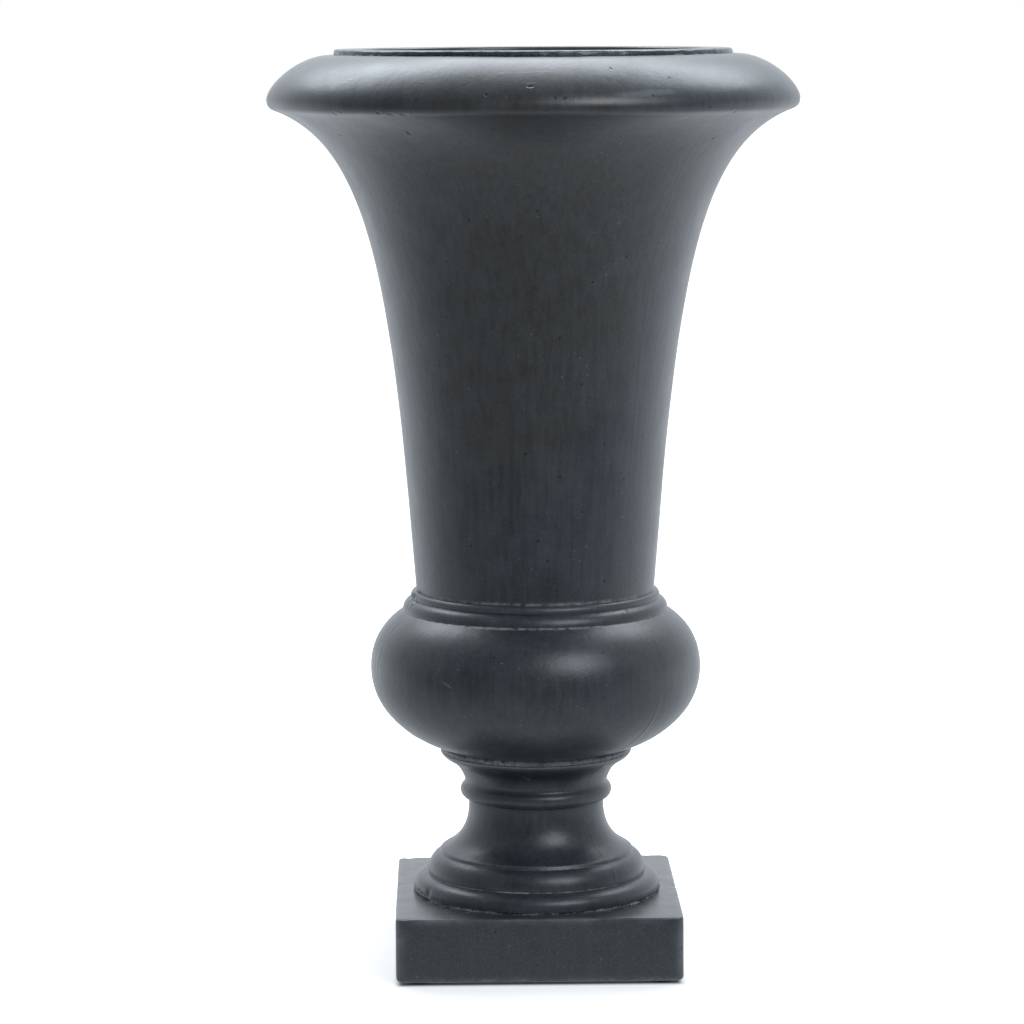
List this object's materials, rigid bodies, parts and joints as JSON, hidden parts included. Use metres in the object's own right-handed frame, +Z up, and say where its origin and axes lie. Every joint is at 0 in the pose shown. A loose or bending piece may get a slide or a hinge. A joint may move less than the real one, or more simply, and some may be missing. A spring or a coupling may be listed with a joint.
{
  "type": "urn planter",
  "caption": "Bell-shaped garden urn with a rolled rim, round bulge and turned foot on a square plinth, with a lift-out planting liner.",
  "frame": {"origin": "centre of the base, on the floor under the pads", "axes": "+Z up along the urn's axis, front face of the plinth towards -Y"},
  "size_m": [0.4393, 0.4394, 0.76],
  "materials": {
    "cast_stone": "cast fibre cement, pigmented charcoal, waxed and burnished to a soft sheen",
    "bedding_mortar": "grey bedding mortar, matte",
    "zinc_steel": "zinc-plated steel",
    "liner_plastic": "moulded charcoal polypropylene, satin",
    "black_rubber": "moulded black rubber"
  },
  "bodies": {
    "urn": {"plinth": "cast_stone", "plinth_joint_bed": "bedding_mortar", "pedestal_foot": "cast_stone", "foot_joint_bed": "bedding_mortar", "urn_body": "cast_stone", "seal_washer": "black_rubber", "tie_rod": "zinc_steel", "upper_nut": "zinc_steel", "upper_washer": "zinc_steel", "lower_nut": "zinc_steel", "lower_washer": "zinc_steel", "front_left_pad": "black_rubber", "front_right_pad": "black_rubber", "back_left_pad": "black_rubber", "back_right_pad": "black_rubber"},
    "liner": {"planting_liner": "liner_plastic"},
    "bung": {"drain_bung": "black_rubber"}
  },
  "joints": [
    {"name": "liner_lift", "type": "slide", "parent": "urn", "child": "liner", "axis": [0, 0, 1], "range_m": [0, 0.28]},
    {"name": "bung_pull", "type": "slide", "parent": "urn", "child": "bung", "axis": [0, 0, 1], "range_m": [0, 0.05]}
  ]
}
